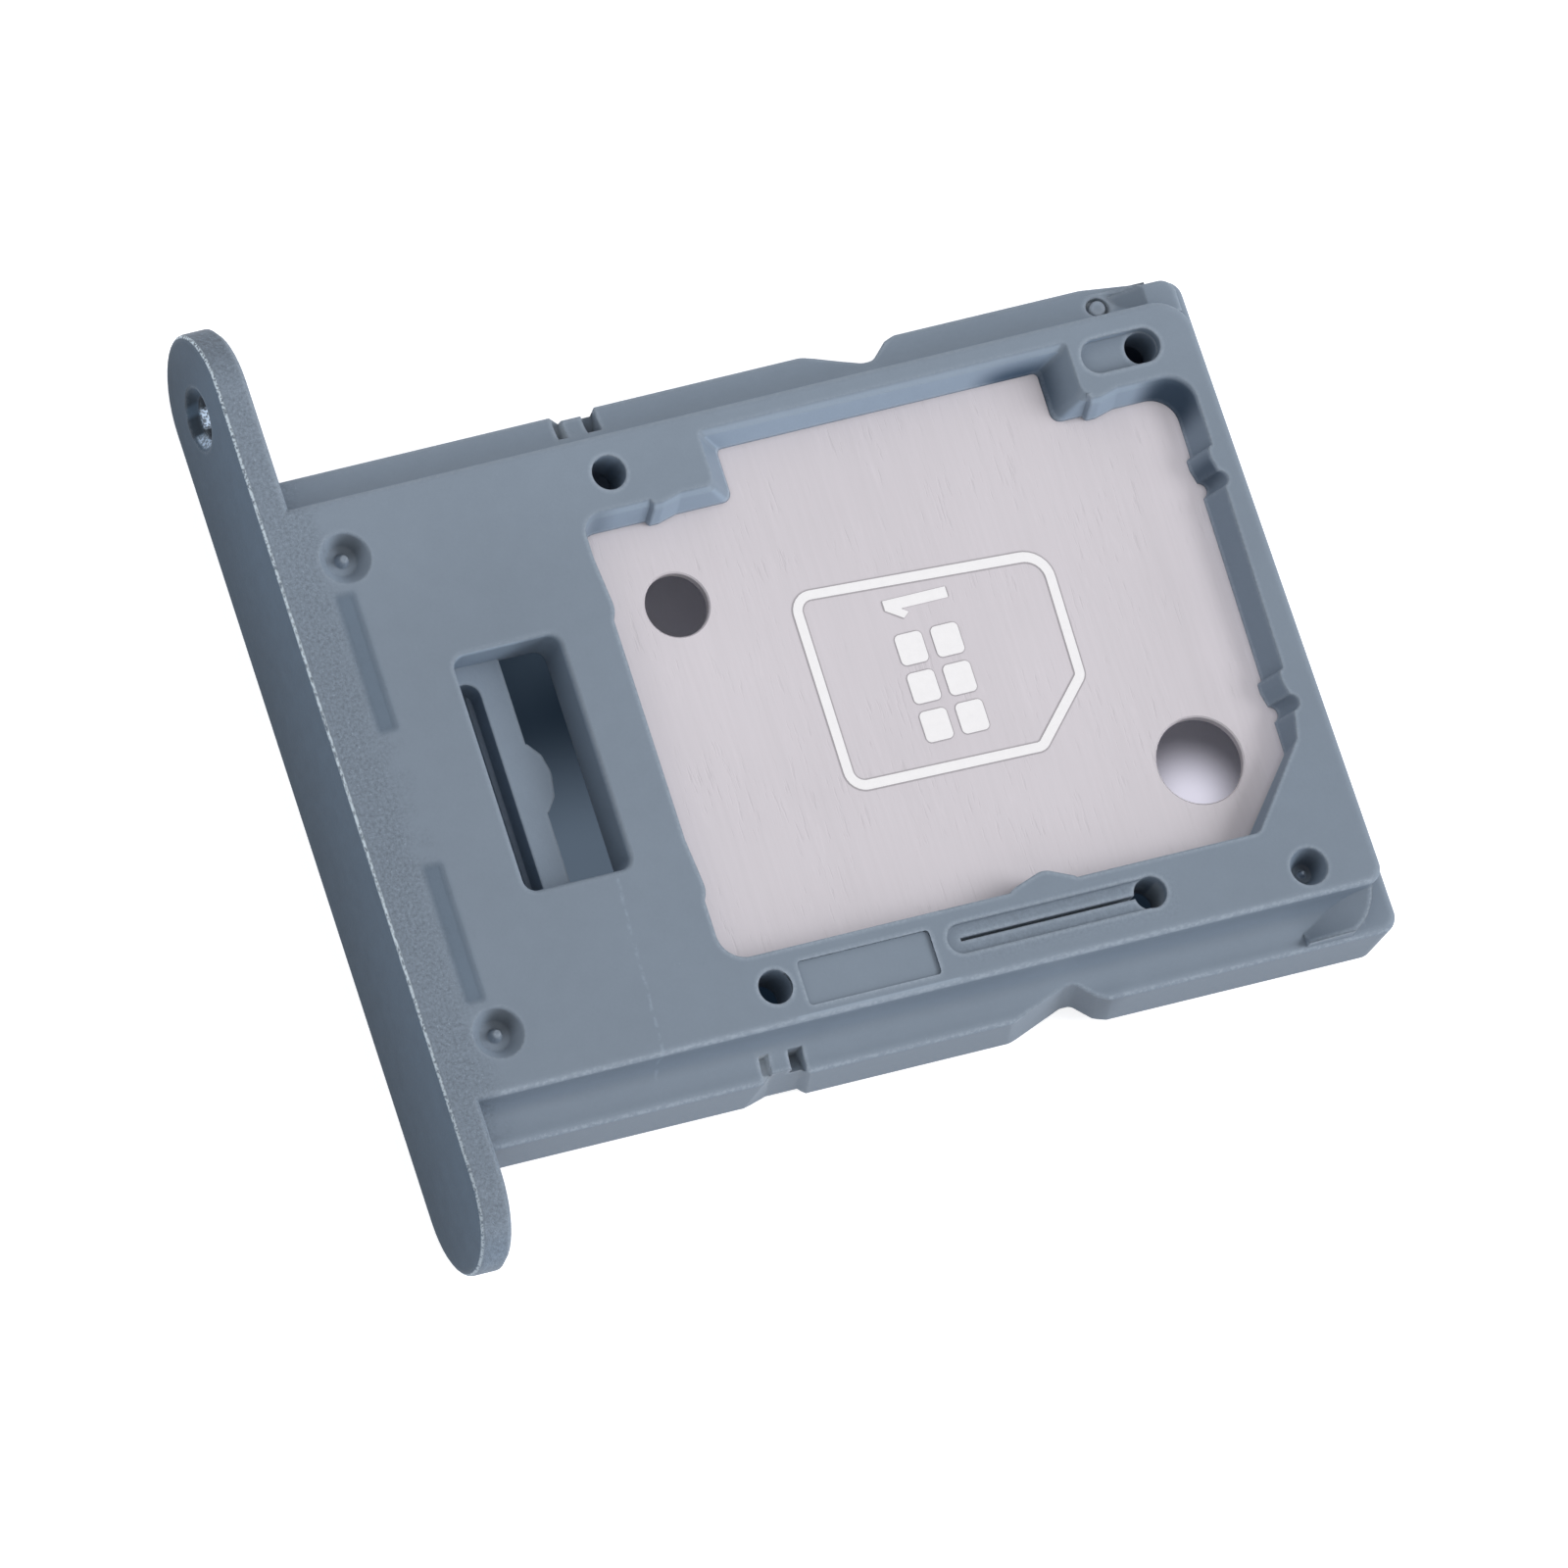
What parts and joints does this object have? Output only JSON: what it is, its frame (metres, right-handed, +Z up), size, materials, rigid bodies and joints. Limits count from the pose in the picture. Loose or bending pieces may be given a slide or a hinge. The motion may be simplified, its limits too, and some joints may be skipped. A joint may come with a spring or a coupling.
{
  "type": "sim card tray",
  "caption": "Thin moulded card tray with a long round-ended door, stepped side rails, a card pocket over a metal sheet, a window with a spring arm and an eject pin hole.",
  "frame": {"origin": "centre of the bounding box in plan, at the underside the tray lies on", "axes": "+X from the door towards the end that enters the phone first, +Z up out of the upper card pocket, +Y towards the end of the door with the eject pin hole"},
  "size_m": [0.0198, 0.0192, 0.003],
  "materials": {
    "moulded_plastic": "blue-grey moulded plastic, satin, painted at the door",
    "sheet_steel": "fine brushed stainless sheet"
  },
  "bodies": {
    "root": {"tray": "moulded_plastic", "separator_sheet": "sheet_steel"}
  },
  "joints": []
}
